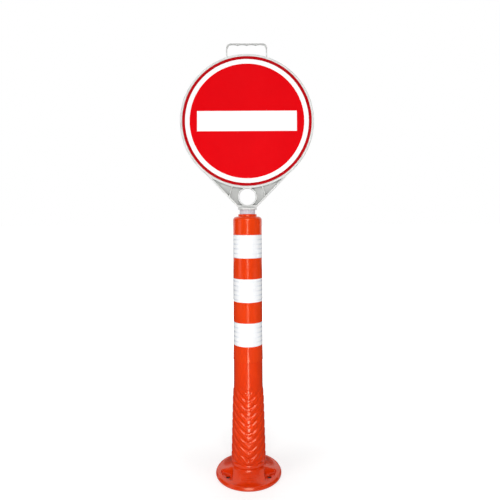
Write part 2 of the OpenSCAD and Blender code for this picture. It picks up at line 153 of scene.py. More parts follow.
# a small bevel at the tube's recesses and at the cap
POST_BEVEL = 0.25 * MM
BAND_NAMES = ("reflective_band_top", "reflective_band_middle", "reflective_band_bottom")
BAND_T = 1 * MM
BAND_PROUD = 0.3 * MM
BAND_RIBS = 5
BAND_CROWN = 0.55 * MM
BAND_CROWN_POWER = 5
BAND_RIB_STEPS = 12
SHOULDER_ROUND = 11 * MM
COLLAR_R = 27 * MM
COLLAR_ROUND = 2 * MM
CAP_SKIRT_LEN = 32 * MM
CAP_WALL = 3 * MM
CAP_SKIRT_GAP = 0.15 * MM
SOCKET_R = 22.4 * MM
SOCKET_DEPTH = 62 * MM
DRAIN_R = 4.5 * MM
LATHE_SIDES = 192

# sign
SIGN_RIM_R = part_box("sign_frame")[1].x
SIGN_FRONT = 12 * MM
SIGN_RIM_W = 6.5 * MM
SIGN_RIM_DEPTH = 18 * MM
SIGN_RIM_WALL = 4 * MM
RIM_BEAD_R = SIGN_RIM_W / 2
RIM_MID_R = SIGN_RIM_R - SIGN_RIM_WALL / 2
SIGN_FRONT_Y = -SIGN_FRONT
SIGN_BACK_Y = SIGN_RIM_DEPTH - SIGN_FRONT
FACE_SINK = 1 * MM
SHEET_T = 0.4 * MM
FILM_T = 0.2 * MM
PLATE_T = 3 * MM
PLATE_FRONT_Y = SIGN_FRONT_Y + FACE_SINK + FILM_T + SHEET_T
BACK_RIB_COUNT = 8
BACK_RIB_T = 2.5 * MM
BACK_RIB_ROUND = 0.6 * MM
BACK_RING_RS = (30 * MM, 110 * MM)
# the films' edges lie a little further into the white than on the solids,
# because white spreads in a small picture
SHEET_R = 187.2 * MM
WHITE_RING_R = 178.8 * MM
RED_FIELD_R = 165.5 * MM
WHITE_BAR_W = 288.2 * MM
WHITE_BAR_H = 58.4 * MM
WHITE_BAR_ROUND = 0.8 * MM
NECK_LEN = 62.5 * MM
NECK_HALF_W = 26 * MM
NECK_CORNER_H = 7 * MM
NECK_DEPTH = 20 * MM
NECK_EDGE_T = 4 * MM
NECK_WEB_T = 4 * MM
NECK_FOOT_H = 13.25 * MM
NECK_HOLE_R = 24.25 * MM
NECK_RING_W = 3.5 * MM
SHOULDER_R = 27 * MM
SHOULDER_H = 6 * MM
SLANT_RIB_REACH = 44 * MM
SLANT_RIB_LEAN = math.radians(15)
SLANT_RIB_T = 3 * MM
PLUG_LEN = 56 * MM
PLUG_BLADE_T = 8 * MM
PLUG_REACH = 18.5 * MM
HANDLE_HALF_W = 59.5 * MM
HANDLE_ROUND = 14 * MM
HANDLE_SIDE_T = 3.5 * MM
HANDLE_BAR_T = 6 * MM
HANDLE_INSET = 1 * MM
HANDLE_DEPTH = 8 * MM
FINGER_COUNT = 4
FINGER_PITCH = 26 * MM
FINGER_DEPTH = 2.5 * MM
FINGER_SPREAD_SHARE = 0.97
EDGE_ROUND = 1 * MM
FILLET = 2 * MM
SIGN_Z = SEAT_Z + NECK_LEN + SIGN_RIM_R

# how fine the carved meshes are, and the room round them
FOOT_CELL = 0.8 * MM
SIGN_CELL = 1 * MM
SIGN_ADAPTIVITY = 0.02
FOOT_TABLE_STEP = 0.25 * MM
SIGN_TABLE_STEP = 0.5 * MM
TABLE_MARGIN = 5 * MM
CARVE_MARGIN = 3 * MM

# materials
PLASTIC_COLOURS = ((0.80, 0.050, 0.003), (0.72, 0.034, 0.002), (0.84, 0.12, 0.05))
RUBBER_COLOURS = ((0.79, 0.044, 0.002), (0.69, 0.028, 0.001), (0.82, 0.11, 0.05))
PLASTIC_ROUGH, RUBBER_ROUGH = (0.15, 0.21), (0.16, 0.22)
PLASTIC_GRAIN, RUBBER_GRAIN = 320, 450
ORANGE_GLOSS = 0.62
WARM_TINT = (1, 0.8, 0.6)
GRAIN_DEPTH = 0.03 * MM
WAVE_DEPTH = 0.35 * MM
CELL_DEPTH = 0.05 * MM
COMB_DEPTH = 0.03 * MM


# distance functions: negative inside, positive outside, in metres


def segment_distances(u, v, outline):
    """Signed distance in a plane from points (u, v) to a closed outline."""
    nearest = np.full(np.broadcast(u, v).shape, np.inf)
    inside = np.zeros(nearest.shape, bool)
    for (au, av), (bu, bv) in zip(outline, outline[1:] + outline[:1]):
        eu, ev = bu - au, bv - av
        share = np.clip(((u - au) * eu + (v - av) * ev) / (eu * eu + ev * ev), 0, 1)
        nearest = np.minimum(nearest, np.hypot(u - au - share * eu, v - av - share * ev))
        if ev:
            inside ^= ((av > v) != (bv > v)) & (u < eu * (v - av) / ev + au)
    return np.where(inside, -nearest, nearest)


def table_lookup(u, v, u_axis, v_axis, table):
    """Values of a table at points (u, v), in a straight line between its entries."""
    du, dv = u_axis[1] - u_axis[0], v_axis[1] - v_axis[0]
    # a point on the last entry counts as just before it
    just_inside = 1.001
    i = np.clip((u - u_axis[0]) / du, 0, len(u_axis) - just_inside)
    j = np.clip((v - v_axis[0]) / dv, 0, len(v_axis) - just_inside)
    i0, j0 = i.astype(int), j.astype(int)
    fi, fj = i - i0, j - j0
    low = table[i0, j0] * (1 - fi) + table[i0 + 1, j0] * fi
    high = table[i0, j0 + 1] * (1 - fi) + table[i0 + 1, j0 + 1] * fi
    return low * (1 - fj) + high * fj


def planar(outline, low, high, step):
    """A distance function in a plane, looked up in a table that is made once."""
    u_axis = np.arange(low[0], high[0] + step, step)
    v_axis = np.arange(low[1], high[1] + step, step)
    table = segment_distances(u_axis[:, None], v_axis[None, :], outline)
    return lambda u, v: table_lookup(u, v, u_axis, v_axis, table)


def smooth_max(a, b, k):
    """The larger of two distances, blended over k so that their edge is rounded."""
    h = np.clip(k - np.abs(a - b), 0, None) / k
    return np.maximum(a, b) + h * h * k / 4


def smooth_min(a, b, k):
    """The smaller of two distances, blended over k so that their corner is filled."""
    return -smooth_max(-a, -b, k)


def rounded_pair(a, b, r):
    """The solid inside both a and b, with its outer edge rounded to r."""
    a, b = a + r, b + r
    return np.hypot(np.maximum(a, 0), np.maximum(b, 0)) + np.minimum(np.maximum(a, b), 0) - r


def between(v, low, high):
    """Negative where v lies between low and high."""
    return np.abs(v - (low + high) / 2) - (high - low) / 2


def box_distance(u, v, half_u, half_v):
    """Signed distance in a plane to a rectangle round the middle."""
    a, b = np.abs(u) - half_u, np.abs(v) - half_v
    return np.hypot(np.maximum(a, 0), np.maximum(b, 0)) + np.minimum(np.maximum(a, b), 0)


def add_mesh(name, points, faces):
    mesh = bpy.data.meshes.new(name)
    mesh.from_pydata([tuple(p) for p in points], [], [tuple(f) for f in faces])
    mesh.validate()
    mesh.update()
    piece = bpy.data.objects.new(name, mesh)
    bpy.context.scene.collection.objects.link(piece)
    return piece


def carve(name, distance, boxes, cell, adaptivity=0.0):
    """A closed mesh of the surface where distance(x, y, z) is zero inside the boxes."""
    band = 3 * cell
    grid = openvdb.FloatGrid()
    grid.background = band
    for low, high in boxes:
        start = [math.floor(v / cell) for v in low]
        stop = [math.ceil(v / cell) for v in high]
        axes = [np.arange(a, b + 1) * cell for a, b in zip(start, stop)]
        x, y, z = np.meshgrid(*axes, indexing="ij", sparse=True)
        values = np.clip(distance(x, y, z), -band, band).astype(np.float32)
        grid.copyFromArray(np.ascontiguousarray(values), ijk=tuple(start))
    points, triangles, quads = grid.convertToPolygons(0.0, adaptivity)
    points = points.astype(float) * cell
    faces = [tuple(int(i) for i in f) for f in quads]
    faces += [tuple(int(i) for i in f) for f in triangles]
    piece = add_mesh(name, points, faces)
    mesh = piece.data
    mesh.polygons.foreach_set("use_smooth", [True] * len(mesh.polygons))
    where = np.array([v.co for v in mesh.vertices])
    mesh.normals_split_custom_set_from_vertices(slopes(distance, where, cell / 4))
    return piece


def slopes(distance, points, step):
    """Unit normals at points, from how the distance changes around them."""
    columns = []
    for axis in range(3):
        shift = np.zeros(3)
        shift[axis] = step
        ahead, behind = points + shift, points - shift
        columns.append(distance(*ahead.T) - distance(*behind.T))
    normals = np.stack(columns, 1)
    tiny = 1e-12
    return normals / np.maximum(np.linalg.norm(normals, axis=1), tiny)[:, None]


def arc(centre, r, start, stop, steps=6):
    """Points of an arc in a plane, from angle start to angle stop in degrees."""
    turns = [math.radians(start + (stop - start) * i / steps) for i in range(steps + 1)]
    return [(centre[0] + r * math.cos(t), centre[1] + r * math.sin(t)) for t in turns]


def lathe(name, outline):
    """A closed solid turned round the Z axis, from a closed outline of (radius, height)."""
    sides = LATHE_SIDES
    turns = np.arange(sides) * 2 * math.pi / sides
    points, rows = [], []
    for r, z in outline:
        if r == 0:
            rows.append([len(points)] * sides)
            points.append((0, 0, z))
        else:
            rows.append(list(range(len(points), len(points) + sides)))
            points += [(r * math.cos(t), r * math.sin(t), z) for t in turns]
    faces = []
    for low, high in zip(rows, rows[1:] + rows[:1]):
        for i in range(sides):
            j = (i + 1) % sides
            face = [low[i], low[j], high[j], high[i]]
            face = [v for n, v in enumerate(face) if v not in face[:n]]
            if len(face) > 2:
                faces.append(face)
    piece = add_mesh(name, points, faces)
    shade(piece, 40)
    return piece


def shade(piece, angle):
    """Smooth shading that breaks at edges sharper than the angle in degrees."""
    mesh = piece.data
    mesh.polygons.foreach_set("use_smooth", [True] * len(mesh.polygons))
    mesh.set_sharp_from_angle(angle=math.radians(angle))


# foot


def foot_outline():
    """Half of the foot's section, from the middle of its underside outwards, up and back in."""
    edge_r = FLANGE_R - FLANGE_EDGE_W
    lip_z = COLUMN_Z - HUB_BEVEL_H
    top_z = COLUMN_Z + FOOT_SPIGOT_LEN
    bore_r = FOOT_SPIGOT_R - FOOT_SPIGOT_WALL
    flange = [
        (0, 0),
        (FLANGE_R - FLANGE_CHAMFER, 0),
        (FLANGE_R, FLANGE_CHAMFER),
        (FLANGE_R, FLANGE_BEVEL_LOW),
        (FLANGE_R - FLANGE_BEVEL_W, FLANGE_BEVEL_LOW + FLANGE_BEVEL_H),
        (edge_r, FLANGE_EDGE_H),
    ]
    slope = []
    for i in range(1, SLOPE_STEPS + 1):
        share = i / SLOPE_STEPS
        rise = (lip_z - FLANGE_EDGE_H) * share ** SLOPE_POWER
        slope.append((edge_r + (HUB_R - edge_r) * share, FLANGE_EDGE_H + rise))
    spigot = [
        (HUB_R - HUB_BEVEL_W, COLUMN_Z),
        (FOOT_SPIGOT_R, COLUMN_Z),
        (FOOT_SPIGOT_R, top_z - LEAD_IN),
        (FOOT_SPIGOT_R - LEAD_IN, top_z),
        (bore_r, top_z),
        (bore_r, FOOT_FLOOR),
        (0, FOOT_FLOOR),
    ]
    return flange + slope + spigot


def turn_from_pocket(x, y):
    """The angle from the middle of the nearest pocket, of which the first is at the back."""
    third = 2 * math.pi / FIXING_COUNT
    return np.mod(np.arctan2(y, x) - math.pi / 2 + third / 2, third) - third / 2


def pocket_distance(r, turn, z):
    """A kidney-shaped pocket with drafted walls, cut off straight by the pads beside it."""
    half_third = math.pi / FIXING_COUNT
    past_end = np.clip(np.abs(turn) - POCKET_HALF_SWEEP, 0, None)
    end_gap = 2 * np.sqrt(r * POCKET_R) * np.sin(past_end / 2)
    kidney = np.hypot(r - POCKET_R, end_gap) - POCKET_W / 2
    along, aside = r * np.cos(turn), r * np.abs(np.sin(turn))
    past_pad = along * math.sin(half_third) - aside * math.cos(half_third)
    kidney = smooth_max(kidney, PAD_W / 2 - past_pad, POCKET_CORNER_ROUND)
    wall = kidney - POCKET_DRAFT * (z - POCKET_FLOOR - POCKET_DRAFT_FROM)
    return smooth_max(wall, POCKET_FLOOR - z, POCKET_FLOOR_ROUND)


def pad_line_rise(x, y, z, r):
    """How high the fine grip lines stand on the front pad, which is bare otherwise."""
    across = PAD_LINES_HALF_W - np.abs(x)
    outwards = np.minimum(r - PAD_LINES_INNER_R, PAD_LINES_OUTER_R - r)
    on_pad = np.clip(np.minimum(across, outwards) / PAD_LINES_EDGE, 0, 1)
    on_pad = on_pad * (y < 0) * (z > PAD_LINES_MIN_Z)
    lines = 0.5 + 0.5 * np.cos(2 * math.pi * (r - PAD_LINES_INNER_R) / PAD_LINES_PITCH)
    return PAD_LINES_RISE * on_pad * (PAD_LINES_LOW_SHARE + (1 - PAD_LINES_LOW_SHARE) * lines)


def foot_distance():
    """The turned foot with its pockets, fixing holes, grip lines and the grooves underneath."""
    low = (-TABLE_MARGIN, -TABLE_MARGIN)
    high = (FLANGE_R + TABLE_MARGIN, COLUMN_Z + FOOT_SPIGOT_LEN + TABLE_MARGIN)
    body = planar(foot_outline(), low, high, FOOT_TABLE_STEP)

    def distance(x, y, z):
        r = np.hypot(x, y)
        turn = turn_from_pocket(x, y)
        d = smooth_max(body(r, z), -pocket_distance(r, turn, z), POCKET_LIP_ROUND)
        hole = np.hypot(r * np.cos(turn) - FIXING_R, r * np.sin(turn)) - FIXING_HOLE_R
        d = smooth_max(d, -hole, HOLE_ROUND)
        for groove_r in GRIP_GROOVE_RS:
            groove = np.maximum(np.abs(r - groove_r) - GRIP_GROOVE_W / 2, z - GRIP_GROOVE_DEPTH)
            d = smooth_max(d, -groove, HOLE_ROUND)
        return d - pad_line_rise(x, y, z, r)

    return distance


def make_foot():
    reach = FLANGE_R + CARVE_MARGIN
    low = (-reach, -reach, -CARVE_MARGIN)
    high = (reach, reach, COLUMN_Z + FOOT_SPIGOT_LEN + CARVE_MARGIN)
    return carve("foot_moulding", foot_distance(), [(low, high)], FOOT_CELL)


# column


def column_radius(z, turn):
    """Outer radius of the column at height z and angle turn, which is zero at the front."""
    ribs_z = COLUMN_Z + BEAD_H
    share = np.clip((z - ribs_z) / (RIBS_TOP_Z - ribs_z), 0, 1)
    body = COLUMN_TOP_R + COLUMN_SWELL * (1 - share)
    # how far round from the nearest front or back line, 1 at the side lines
    aside = np.abs(np.mod(turn + math.pi / 2, math.pi) - math.pi / 2) / (math.pi / 2)
    climb = RIB_CLIMB * (np.hypot(aside, RIB_TIP_ROUND) - RIB_TIP_ROUND / 2)
    phase = (z - ribs_z - RIB_START - climb) / RIB_PITCH
    flank = RIB_GAIN * (4 * np.abs(np.mod(phase, 1) - 0.5) - 1 + RIB_BIAS)
    crest = 0.5 + 0.5 * flank / (1 + np.abs(flank) ** RIB_EDGE_POWER) ** (1 / RIB_EDGE_POWER)
    fade = np.clip(np.minimum((z - ribs_z) / RIB_START, (RIBS_TOP_Z - z) / RIB_FADE), 0, 1)
    ribs = RIB_DEPTH * fade * crest
    t = np.clip((z - COLUMN_Z) / BEAD_H, 0, 1)
    low_end = np.clip(1 - t / BEAD_LOW_SHARE, 0, 1)
    top_end = np.clip((1 - t) / BEAD_TOP_SHARE, 0, 1)
    bead = BEAD_OUT * np.sqrt(1 - low_end ** 2) * top_end
    # the parting line of the mould runs up both sides
    line_gap = (1 - aside) * math.pi / 2 * body
    line = PARTING_LINE_RISE * np.exp(-((line_gap / PARTING_LINE_W) ** 2))
    return body + ribs + bead + line


def column_normals(z, turn):
    """Unit normals of the column's outside, from how its radius changes."""
    z_step, turn_step = 0.05 * MM, 1e-4
    r = column_radius(z, turn)
    dz = (column_radius(z + z_step, turn) - column_radius(z - z_step, turn)) / (2 * z_step)
    dt = (column_radius(z, turn + turn_step) - column_radius(z, turn - turn_step)) / (2 * turn_step) / r
    sine, cosine = np.sin(turn), np.cos(turn)
    normals = np.stack([sine - dt * cosine, -cosine - dt * sine, -dz], 1)
    return normals / np.linalg.norm(normals, axis=1)[:, None]


def column_half(name, low, high, top_profile):
    """A closed piece of the column from height low to high, with an end that may have a profile."""
    turns = np.arange(COLUMN_SIDES) * 2 * math.pi / COLUMN_SIDES
    heights = np.linspace(low, high, max(2, round((high - low) / COLUMN_STEP)) + 1)
    rows = [(column_radius(z, turns), np.full(COLUMN_SIDES, z)) for z in heights]
    top_z = top_profile[-1][1] if top_profile else high
    for r, z in top_profile + [(COLUMN_BORE_R, top_z), (COLUMN_BORE_R, low)]:
        rows.append((np.full(COLUMN_SIDES, r), np.full(COLUMN_SIDES, z)))
    points = []
    for r, z in rows:
        points += list(zip(r * np.sin(turns), -r * np.cos(turns), z))
    faces = []
    for row in range(len(rows)):
        here = row * COLUMN_SIDES
        above = (row + 1) % len(rows) * COLUMN_SIDES
        for i in range(COLUMN_SIDES):
            j = (i + 1) % COLUMN_SIDES
            faces.append((here + i, here + j, above + j, above + i))
    piece = add_mesh(name, points, faces)
    shade(piece, 40)
    # the faces of the outside come first, and take their normals from the formula
    wall_faces = (len(heights) - 1) * COLUMN_SIDES
    mesh = piece.data
    loops = np.array([v.vector for v in mesh.corner_normals])
    corner = np.array([loop.vertex_index for loop in mesh.loops])
    on_wall = np.arange(len(mesh.polygons)) < wall_faces
    on_wall = np.repeat(on_wall, [len(p.vertices) for p in mesh.polygons])
    normals = column_normals(np.repeat(heights, COLUMN_SIDES), np.tile(turns, len(heights)))
    loops[on_wall] = normals[corner[on_wall]]
    mesh.normals_split_custom_set(loops)
    return piece


def make_column():
    """Two halves that meet in one plane."""
    spigot = [
        (COLUMN_SPIGOT_R, SEAM_Z),
        (COLUMN_SPIGOT_R, COLUMN_TOP_Z - LEAD_IN),
        (COLUMN_SPIGOT_R - LEAD_IN, COLUMN_TOP_Z),
    ]
    lower = column_half("column_lower", COLUMN_Z, COLUMN_SPLIT_Z, [])
    upper = column_half("column_upper", COLUMN_SPLIT_Z, SEAM_Z, spigot)
    return lower, upper


# tube, bands and cap


def band_limits():
    """The lower and upper end of each band, from the top one down."""
    return [(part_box(n)[0].z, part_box(n)[1].z) for n in BAND_NAMES]


def make_tube():
    """The tube, a little wider at the seam, with a shallow recess for each band."""
    outline = [(TUBE_BORE_R, SEAM_Z)]
    flare_r = TUBE_R + TUBE_FLARE
    outline += arc((flare_r - SEAM_ROUND, SEAM_Z + SEAM_ROUND), SEAM_ROUND, 270, 360, 4)
    outline += [(TUBE_R, SEAM_Z + TUBE_FLARE_H)]
    recess_r = TUBE_R + BAND_PROUD - BAND_T
    bevel_r = TUBE_R - POST_BEVEL
    for low, high in reversed(band_limits()):
        outline += [(TUBE_R, low - POST_BEVEL), (bevel_r, low), (recess_r, low)]
        outline += [(recess_r, high), (bevel_r, high), (TUBE_R, high + POST_BEVEL)]
    outline += [(TUBE_R, CAP_Z - POST_BEVEL), (bevel_r, CAP_Z), (TUBE_BORE_R, CAP_Z)]
    return lathe("tube_shell", outline)


def make_band(name, low, high):
    """A sleeve with crowned ribs, which leave narrow grooves between them."""
    outer_r = TUBE_R + BAND_PROUD
    inner_r = outer_r - BAND_T
    rib_h = (high - low) / BAND_RIBS
    outline = [(inner_r, low)]
    for n in range(BAND_RIBS):
        # the first point of a rib is the last one of the rib below it
        for i in range(1 if n else 0, BAND_RIB_STEPS + 1):
            share = i / BAND_RIB_STEPS
            aside = abs(2 * share - 1)
            crown = BAND_CROWN * aside ** BAND_CROWN_POWER
            outline.append((outer_r - crown, low + rib_h * (n + share)))
    outline.append((inner_r, high))
    return lathe(name + "_sleeve", outline)


def make_cap():
    """The shoulder and collar, the skirt inside the tube and the socket for the bush."""
    skirt_r = TUBE_BORE_R - CAP_SKIRT_GAP
    inner_r = skirt_r - CAP_WALL
    socket_outer_r = SOCKET_R + CAP_WALL
    skirt_z = CAP_Z - CAP_SKIRT_LEN
    collar_z = CAP_Z + SHOULDER_ROUND
    socket_z = POST_TOP_Z - SOCKET_DEPTH
    floor_z = socket_z - CAP_WALL
    outline = [(inner_r, skirt_z), (skirt_r, skirt_z), (skirt_r, CAP_Z)]
    outline += [(TUBE_R - POST_BEVEL, CAP_Z), (TUBE_R, CAP_Z + POST_BEVEL)]
    outline += arc((TUBE_R - SHOULDER_ROUND, CAP_Z), SHOULDER_ROUND, 3, 90, 12)
    outline += arc((COLLAR_R + COLLAR_ROUND, collar_z + COLLAR_ROUND), COLLAR_ROUND, 270, 180)
    outline += arc((COLLAR_R - COLLAR_ROUND, POST_TOP_Z - COLLAR_ROUND), COLLAR_ROUND, 0, 90)
    outline += arc((SOCKET_R + POST_BEVEL, POST_TOP_Z - POST_BEVEL), POST_BEVEL, 90, 180, 3)
    outline += [(SOCKET_R, socket_z), (DRAIN_R, socket_z), (DRAIN_R, floor_z)]
    outline += [(socket_outer_r, floor_z), (socket_outer_r, collar_z - CAP_WALL), (inner_r, CAP_Z)]
    return lathe("shoulder_cap", outline)


# sign


def neck_edge():
    """The neck's lower corner, where its straight edge meets the rim, and that edge's angle."""
    corner = (NECK_HALF_W, SEAT_Z + NECK_CORNER_H)
    reach = math.hypot(corner[0], SIGN_Z - corner[1])
    angle = math.pi / 2 + math.asin(corner[0] / reach) - math.asin(RIM_MID_R / reach)
    length = math.sqrt(reach ** 2 - RIM_MID_R ** 2)
    top = (corner[0] + length * math.cos(angle), corner[1] + length * math.sin(angle))
    return corner, top, angle


def sign_area(outline):
    """The distance in the sign's plane to an outline, over the whole sign."""
    low = (-SIGN_RIM_R - TABLE_MARGIN, SEAT_Z - TABLE_MARGIN)
    high = (SIGN_RIM_R + TABLE_MARGIN, SIGN_TOP_Z + TABLE_MARGIN)
    return planar(outline, low, high, SIGN_TABLE_STEP)


def handle_outline():
    foot_z = SIGN_Z + math.sqrt(SIGN_RIM_R ** 2 - HANDLE_HALF_W ** 2) - SIGN_RIM_WALL
    arc_z = SIGN_TOP_Z - HANDLE_ROUND
    arc_x = HANDLE_HALF_W - HANDLE_ROUND
    outline = [(-HANDLE_HALF_W, foot_z), (HANDLE_HALF_W, foot_z)]
    outline += arc((arc_x, arc_z), HANDLE_ROUND, 0, 90, 10)
    outline += arc((-arc_x, arc_z), HANDLE_ROUND, 90, 180, 10)
    return outline


def hand_hole_outline():
    """The hole under the handle's bar, with a shallow scallop for each finger."""
    half = HANDLE_HALF_W - HANDLE_SIDE_T
    bar_z = SIGN_TOP_Z - HANDLE_BAR_T
    shoulder = HANDLE_ROUND - HANDLE_SIDE_T
    finger_r = ((FINGER_PITCH / 2) ** 2 + FINGER_DEPTH ** 2) / (2 * FINGER_DEPTH)
    spread = FINGER_SPREAD_SHARE * math.degrees(math.asin(FINGER_PITCH / 2 / finger_r))
    outline = [(-half, SIGN_Z), (-half, bar_z - shoulder)]
    for n in range(FINGER_COUNT):
        middle = (n - (FINGER_COUNT - 1) / 2) * FINGER_PITCH
        centre = (middle, bar_z + FINGER_DEPTH - finger_r)
        outline += arc(centre, finger_r, 90 + spread, 90 - spread, 10)
    outline += [(half, bar_z - shoulder), (half, SIGN_Z)]
    return outline


def dish_distance(x, y, z):
    """A rim with a beaded front edge, and a plate with ribs and rings behind it."""
    rho = np.hypot(x, z - SIGN_Z)
    wall = rounded_pair(
        between(rho, SIGN_RIM_R - SIGN_RIM_WALL, SIGN_RIM_R),
        between(y, SIGN_FRONT_Y + RIM_BEAD_R, SIGN_BACK_Y),
        EDGE_ROUND,
    )
    bead = np.hypot(rho - (SIGN_RIM_R - RIM_BEAD_R), y - (SIGN_FRONT_Y + RIM_BEAD_R)) - RIM_BEAD_R
    floor = between(y, PLATE_FRONT_Y, PLATE_FRONT_Y + PLATE_T)
    floor = np.maximum(rho - (SIGN_RIM_R - RIM_BEAD_R), floor)
    slice_angle = 2 * math.pi / BACK_RIB_COUNT
    angle = np.arctan2(x, z - SIGN_Z)
    off_rib = rho * np.sin(np.mod(angle + slice_angle / 2, slice_angle) - slice_angle / 2)
    ribs = np.maximum(np.abs(off_rib) - BACK_RIB_T / 2, BACK_RING_RS[0] - BACK_RIB_T - rho)
    ribs = np.maximum(ribs, rho - SIGN_RIM_R + SIGN_RIM_WALL / 2)
    for ring_r in BACK_RING_RS:
        ribs = np.minimum(ribs, between(rho, ring_r - BACK_RIB_T, ring_r))
    rib_depth = between(y, PLATE_FRONT_Y + PLATE_T / 2, SIGN_BACK_Y - SIGN_RIM_WALL)
    ribs = rounded_pair(ribs, rib_depth, BACK_RIB_ROUND)
    return smooth_min(np.minimum(wall, bead), smooth_min(floor, ribs, FILLET), FILLET / 2)


def handle_distance():
    """The carrying handle, a loop that stands on the rim."""
    whole = sign_area(handle_outline())
    hand_hole = sign_area(hand_hole_outline())
    front_y = SIGN_FRONT_Y + HANDLE_INSET

    def distance(x, y, z):
        loop = smooth_max(whole(x, z), -hand_hole(x, z), EDGE_ROUND)
        loop = np.maximum(loop, RIM_MID_R - np.hypot(x, z - SIGN_Z))
        return rounded_pair(loop, between(y, front_y, front_y + HANDLE_DEPTH), 2 * EDGE_ROUND)

    return distance


def neck_distance():
    """The neck: a thin web with raised edges, slanted ribs and a ring round its hole."""
    corner, top, edge_angle = neck_edge()
    low_z = SEAT_Z + SHOULDER_H / 2
    right = [(corner[0], low_z), corner, top]
    left = [(-x, z) for x, z in reversed(right)]
    area_of = sign_area(right + left)
    hole_z = SEAT_Z + NECK_FOOT_H + NECK_HOLE_R
    rib_z = SIGN_Z - math.sqrt(SIGN_RIM_R ** 2 - SLANT_RIB_REACH ** 2)

    def distance(x, y, z):
        area = area_of(x, z)
        clear_of_dish = RIM_MID_R - np.hypot(x, z - SIGN_Z)
        aside = np.abs(x)
        from_edge = (z - corner[1]) * math.cos(edge_angle) - (aside - corner[0]) * math.sin(edge_angle)
        edges = np.maximum(area, from_edge - NECK_EDGE_T)
        past_rib = (aside - SLANT_RIB_REACH) * math.cos(SLANT_RIB_LEAN)
        below_rib = (z - rib_z) * math.sin(SLANT_RIB_LEAN)
        slants = np.maximum(area, np.abs(past_rib + below_rib) - SLANT_RIB_T / 2)
        hole = np.hypot(x, z - hole_z) - NECK_HOLE_R
        ring = np.maximum(area, hole - NECK_RING_W)
        block = np.maximum(area, z - SEAT_Z - NECK_FOOT_H)
        raised = np.minimum(np.minimum(edges, slants), np.minimum(ring, block))
        raised = smooth_max(np.maximum(raised, clear_of_dish), -hole, EDGE_ROUND)
        raised = rounded_pair(raised, np.abs(y) - NECK_DEPTH / 2, EDGE_ROUND)
        web = np.maximum(np.maximum(area, clear_of_dish), -hole)
        web = np.maximum(web, np.abs(y) - NECK_WEB_T / 2)
        return smooth_min(raised, web, FILLET)

    return distance


def plug_distance(x, y, z):
    """The round shoulder that rests on the bush, and the cross-shaped plug below it."""
    disc_h = between(z, SEAT_Z, SEAT_Z + SHOULDER_H)
    disc = rounded_pair(np.hypot(x, y) - SHOULDER_R, disc_h, EDGE_ROUND)
    blade = box_distance(x, y, PLUG_REACH, PLUG_BLADE_T / 2)
    other_blade = box_distance(x, y, PLUG_BLADE_T / 2, PLUG_REACH)
    plug_h = between(z, SEAT_Z - PLUG_LEN, SEAT_Z + SHOULDER_H / 2)
    plug = rounded_pair(np.minimum(blade, other_blade), plug_h, EDGE_ROUND)
    return smooth_min(disc, plug, FILLET / 2)


def sign_distance():
    handle = handle_distance()
    neck = neck_distance()

    def distance(x, y, z):
        d = smooth_min(dish_distance(x, y, z), handle(x, y, z), FILLET)
        d = smooth_min(d, neck(x, y, z), FILLET / 2)
        return smooth_min(d, plug_distance(x, y, z), FILLET / 2)

    return distance


def make_sign_frame():
    reach = SIGN_RIM_R + CARVE_MARGIN
    wide = SHOULDER_R + CARVE_MARGIN
    split_z = SEAT_Z + SHOULDER_H + CARVE_MARGIN
    upper_low = (-reach, SIGN_FRONT_Y - CARVE_MARGIN, split_z)
    upper_high = (reach, NECK_DEPTH / 2 + CARVE_MARGIN, SIGN_TOP_Z + CARVE_MARGIN)
    lower_low = (-wide, -wide, SEAT_Z - PLUG_LEN - CARVE_MARGIN)
    lower_high = (wide, wide, split_z)
    boxes = [(upper_low, upper_high), (lower_low, lower_high)]
    return carve("sign_moulding", sign_distance(), boxes, SIGN_CELL, SIGN_ADAPTIVITY)


def plate(name, loops, front, back):
    """A flat piece from y = front to y = back, with an outline and perhaps a hole."""
    flat = [[Vector((x, 0, z)) for x, z in loop] for loop in loops]
    outline = [p for loop in flat for p in loop]
    count = len(outline)
    points = [(p.x, y, SIGN_Z + p.z) for y in (front, back) for p in outline]
    faces = []
    for a, b, c in tessellate_polygon(flat):
        normal = (outline[b] - outline[a]).cross(outline[c] - outline[a])
        if normal.y > 0:
            b, c = c, b
        faces += [(a, b, c), (a + count, c + count, b + count)]
    start = 0
    for loop in loops:
        size = len(loop)
        for i in range(size):
            a, b = start + i, start + (i + 1) % size
            faces.append((a, b, b + count, a + count))
        start += size
    piece = add_mesh(name, points, faces)
    shade(piece, 30)
    return piece


def ring_points(r, sides=256):
    turns = [2 * math.pi * i / sides for i in range(sides)]
    return [(r * math.cos(t), r * math.sin(t)) for t in turns]


def bar_outline():
    """The white bar, a slot in the red field with small rounds at its corners."""
    x = WHITE_BAR_W / 2 - WHITE_BAR_ROUND
    z = WHITE_BAR_H / 2 - WHITE_BAR_ROUND
    outline = []
    for corner, start in (((x, z), 0), ((-x, z), 90), ((-x, -z), 180), ((x, -z), 270)):
        outline += arc(corner, WHITE_BAR_ROUND, start, start + 90, 4)
    return outline


def make_face():
    """The white sheet on the dish, and the two red films on the sheet."""
    film_y = SIGN_FRONT_Y + FACE_SINK
    sheet_y = SIGN_FRONT_Y + FACE_SINK + FILM_T
    sheet = plate("white_sheet", [ring_points(SHEET_R)], sheet_y, sheet_y + SHEET_T)
    border = plate("red_border", [ring_points(SHEET_R), ring_points(WHITE_RING_R)], film_y, sheet_y)
    field = plate("red_field", [ring_points(RED_FIELD_R), bar_outline()], film_y, sheet_y)
    return sheet, border, field


# materials


